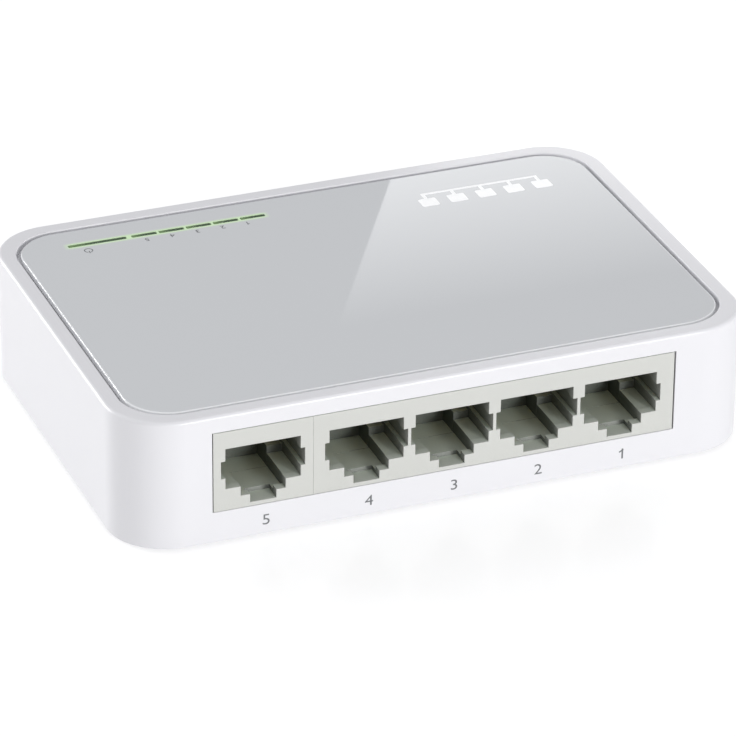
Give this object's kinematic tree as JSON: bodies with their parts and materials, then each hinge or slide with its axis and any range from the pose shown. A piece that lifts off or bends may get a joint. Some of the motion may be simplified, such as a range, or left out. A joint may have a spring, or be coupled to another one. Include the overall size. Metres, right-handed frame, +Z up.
{
  "type": "desktop network switch",
  "caption": "Low rounded white desktop network switch with a glossy grey top plate, a row of modular sockets in one long side and a row of light bars on top.",
  "frame": {"origin": "centre of the footprint, on the surface the feet stand on", "axes": "+X along the socket side towards port 1, +Y from the socket side to the side with the light bars, +Z up"},
  "size_m": [0.1036, 0.07, 0.022],
  "materials": {
    "white_abs": "fine spark-eroded satin",
    "grey_plate": "high gloss",
    "clear_acrylic": "translucent, tinted green",
    "board_green": "solder mask",
    "jack_plastic": "satin",
    "black_plastic": "satin",
    "gold_plating": "gold plated, polished",
    "tinned_metal": "tinned or zinc plated",
    "black_epoxy": "moulded epoxy",
    "can_aluminium": "drawn can",
    "ferrite": "pressed",
    "led_resin": "diffused resin",
    "grey_rubber": "matte",
    "label_film": "satin film"
  },
  "bodies": {
    "switch_body": {"top_housing": "white_abs", "base_cover": "white_abs", "top_plate": "grey_plate", "light_guide": "clear_acrylic", "circuit_board": "board_green", "jack_housing_port_5": "jack_plastic", "jack_housing_ports_1_to_4": "jack_plastic", "dc_jack_housing": "black_plastic", "contact_insert_1": "black_plastic", "contact_insert_2": "black_plastic", "contact_insert_3": "black_plastic", "contact_insert_4": "black_plastic", "contact_insert_5": "black_plastic", "dc_centre_pin": "tinned_metal", "case_screw_left": "tinned_metal", "case_screw_right": "tinned_metal", "switch_chip": "black_epoxy", "voltage_regulator": "black_epoxy", "input_diode": "black_epoxy", "transformer_1": "black_epoxy", "transformer_2": "black_epoxy", "transformer_3": "black_epoxy", "transformer_4": "black_epoxy", "transformer_5": "black_epoxy", "crystal": "can_aluminium", "input_capacitor": "can_aluminium", "output_capacitor": "can_aluminium", "power_inductor": "ferrite", "led_power": "led_resin", "led_port_1": "led_resin", "led_port_2": "led_resin", "led_port_3": "led_resin", "led_port_4": "led_resin", "led_port_5": "led_resin", "foot_front_left": "grey_rubber", "foot_front_right": "grey_rubber", "foot_rear_left": "grey_rubber", "foot_rear_right": "grey_rubber", "rating_label": "label_film"},
    "contacts_port_1": {"contact_springs_1": "gold_plating"},
    "contacts_port_2": {"contact_springs_2": "gold_plating"},
    "contacts_port_3": {"contact_springs_3": "gold_plating"},
    "contacts_port_4": {"contact_springs_4": "gold_plating"},
    "contacts_port_5": {"contact_springs_5": "gold_plating"},
    "dc_contact": {"dc_spring_contact": "tinned_metal"}
  },
  "joints": [
    {"name": "contact_spring_flex_1", "type": "hinge", "parent": "switch_body", "child": "contacts_port_1", "pos_m": [0.02857, -0.0328, 0.01655], "axis": [1, 0, 0], "range_deg": [0, 12], "stiffness_Nm_per_rad": 0.3},
    {"name": "contact_spring_flex_2", "type": "hinge", "parent": "switch_body", "child": "contacts_port_2", "pos_m": [0.01463, -0.0328, 0.01655], "axis": [1, 0, 0], "range_deg": [0, 12], "stiffness_Nm_per_rad": 0.3},
    {"name": "contact_spring_flex_3", "type": "hinge", "parent": "switch_body", "child": "contacts_port_3", "pos_m": [0.00068, -0.0328, 0.01655], "axis": [1, 0, 0], "range_deg": [0, 12], "stiffness_Nm_per_rad": 0.3},
    {"name": "contact_spring_flex_4", "type": "hinge", "parent": "switch_body", "child": "contacts_port_4", "pos_m": [-0.01328, -0.0328, 0.01655], "axis": [1, 0, 0], "range_deg": [0, 12], "stiffness_Nm_per_rad": 0.3},
    {"name": "contact_spring_flex_5", "type": "hinge", "parent": "switch_body", "child": "contacts_port_5", "pos_m": [-0.02993, -0.0328, 0.01655], "axis": [1, 0, 0], "range_deg": [0, 12], "stiffness_Nm_per_rad": 0.3},
    {"name": "dc_contact_flex", "type": "hinge", "parent": "switch_body", "child": "dc_contact", "pos_m": [0.0419, 0.018, 0.00835], "axis": [0, 1, 0], "range_deg": [0, 5], "stiffness_Nm_per_rad": 0.1}
  ]
}
